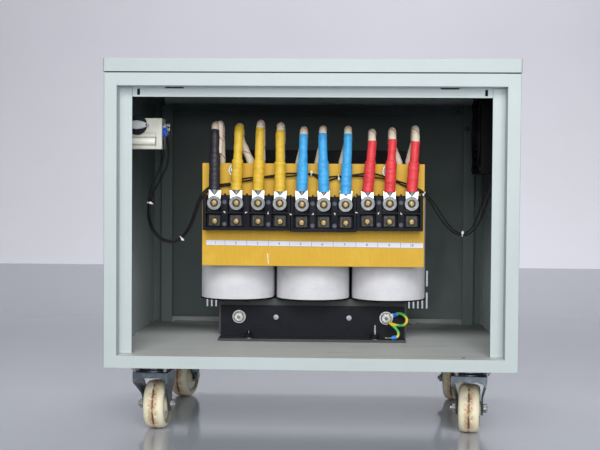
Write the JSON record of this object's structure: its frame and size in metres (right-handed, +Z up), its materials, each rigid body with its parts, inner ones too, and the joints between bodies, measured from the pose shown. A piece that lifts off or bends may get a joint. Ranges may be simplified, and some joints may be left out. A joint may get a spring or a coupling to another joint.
{
  "type": "three-phase autotransformer",
  "caption": "Three-phase autotransformer with fixed taps in an open-fronted steel cabinet on swivel casters, with a terminal board, cooling fan and fan control.",
  "frame": {"origin": "on the floor, under the middle of the cabinet", "axes": "+X to the right of someone facing the open front, +Y to the rear, +Z up"},
  "size_m": [0.603, 0.459, 0.56],
  "materials": {
    "cabinet_paint": "pale grey-green powder coat, satin",
    "zinc_plate": "bright zinc plate",
    "wheel_nylon": "ivory nylon, soiled tread",
    "fan_plastic": "black glass-filled plastic",
    "guard_wire": "plated wire",
    "control_plastic": "light grey plastic",
    "knob_plastic": "grey plastic",
    "core_iron": "varnished silicon-steel laminations",
    "coil_wrap": "white insulating wrap",
    "black_steel": "black paint",
    "board_laminate": "ochre epoxy laminate",
    "block_moulding": "blue-black phenolic",
    "black_sleeve": "shrink sleeve",
    "yellow_sleeve": "shrink sleeve",
    "blue_sleeve": "shrink sleeve",
    "red_sleeve": "shrink sleeve",
    "black_wire": "black cable cover",
    "earth_wire_cover": "green and yellow cover"
  },
  "bodies": {
    "cabinet": {"left_side_panel": "cabinet_paint", "right_side_panel": "cabinet_paint", "floor_pan": "cabinet_paint", "front_top_rail": "cabinet_paint", "rear_top_rail": "cabinet_paint", "rear_panel": "cabinet_paint", "lid_cover": "cabinet_paint", "caster_plate_fl": "zinc_plate", "caster_plate_fr": "zinc_plate", "caster_plate_rl": "zinc_plate", "caster_plate_rr": "zinc_plate", "fan_housing": "fan_plastic", "fan_guard": "guard_wire", "thermostat_body": "control_plastic", "laminated_core": "core_iron", "coil_left": "coil_wrap", "coil_middle": "coil_wrap", "coil_right": "coil_wrap", "front_base_angle": "black_steel", "rear_base_angle": "black_steel", "front_top_clamp": "black_steel", "rear_top_clamp": "black_steel", "core_bolt_bottom_left": "zinc_plate", "core_bolt_bottom_right": "zinc_plate", "core_bolt_top_left": "zinc_plate", "core_bolt_top_right": "zinc_plate", "board_standoff_left": "zinc_plate", "board_standoff_right": "zinc_plate", "terminal_board": "board_laminate", "terminal_block_left": "block_moulding", "terminal_block_middle": "block_moulding", "terminal_block_right": "block_moulding", "lead_n": "black_sleeve", "lead_u1": "yellow_sleeve", "lead_u2": "yellow_sleeve", "lead_u3": "yellow_sleeve", "lead_v1": "blue_sleeve", "lead_v2": "blue_sleeve", "lead_v3": "blue_sleeve", "lead_w1": "red_sleeve", "lead_w2": "red_sleeve", "lead_w3": "red_sleeve", "harness_left_drop": "black_wire", "harness_board_run": "black_wire", "harness_right_drop": "black_wire", "earth_wire": "earth_wire_cover"},
    "caster_swivel_fl": {"caster_fork_fl": "zinc_plate", "caster_axle_fl": "zinc_plate"},
    "caster_roller_fl": {"caster_wheel_fl": "wheel_nylon"},
    "caster_swivel_fr": {"caster_fork_fr": "zinc_plate", "caster_axle_fr": "zinc_plate"},
    "caster_roller_fr": {"caster_wheel_fr": "wheel_nylon"},
    "caster_swivel_rl": {"caster_fork_rl": "zinc_plate", "caster_axle_rl": "zinc_plate"},
    "caster_roller_rl": {"caster_wheel_rl": "wheel_nylon"},
    "caster_swivel_rr": {"caster_fork_rr": "zinc_plate", "caster_axle_rr": "zinc_plate"},
    "caster_roller_rr": {"caster_wheel_rr": "wheel_nylon"},
    "fan_rotor": {"fan_rotor": "fan_plastic"},
    "thermostat_knob": {"thermostat_knob": "knob_plastic"}
  },
  "joints": [
    {"name": "caster_swivel_fl", "type": "hinge", "parent": "cabinet", "child": "caster_swivel_fl", "pos_m": [-0.24, -0.14, 0.0935], "axis": [0, 0, 1], "continuous": true},
    {"name": "caster_roll_fl", "type": "hinge", "parent": "caster_swivel_fl", "child": "caster_roller_fl", "pos_m": [-0.23819, -0.11406, 0.0375], "axis": [0.9976, -0.0698, 0], "continuous": true},
    {"name": "caster_swivel_fr", "type": "hinge", "parent": "cabinet", "child": "caster_swivel_fr", "pos_m": [0.24, -0.14, 0.0935], "axis": [0, 0, 1], "continuous": true},
    {"name": "caster_roll_fr", "type": "hinge", "parent": "caster_swivel_fr", "child": "caster_roller_fr", "pos_m": [0.24362, -0.11425, 0.0375], "axis": [0.9903, -0.1392, 0], "continuous": true},
    {"name": "caster_swivel_rl", "type": "hinge", "parent": "cabinet", "child": "caster_swivel_rl", "pos_m": [-0.24, 0.14, 0.0935], "axis": [0, 0, 1], "continuous": true},
    {"name": "caster_roll_rl", "type": "hinge", "parent": "caster_swivel_rl", "child": "caster_roller_rl", "pos_m": [-0.23371, 0.16523, 0.0375], "axis": [0.9703, -0.2419, 0], "continuous": true},
    {"name": "caster_swivel_rr", "type": "hinge", "parent": "cabinet", "child": "caster_swivel_rr", "pos_m": [0.24, 0.14, 0.0935], "axis": [0, 0, 1], "continuous": true},
    {"name": "caster_roll_rr", "type": "hinge", "parent": "caster_swivel_rr", "child": "caster_roller_rr", "pos_m": [0.24717, 0.16499, 0.0375], "axis": [0.9613, -0.2756, 0], "continuous": true},
    {"name": "fan_spin", "type": "hinge", "parent": "cabinet", "child": "fan_rotor", "pos_m": [0.2602, -0.023, 0.4575], "axis": [1, 0, 0], "continuous": true},
    {"name": "thermostat_turn", "type": "hinge", "parent": "cabinet", "child": "thermostat_knob", "pos_m": [-0.2681, -0.13, 0.468], "axis": [0, -1, 0], "range_deg": [-135, 135]}
  ]
}
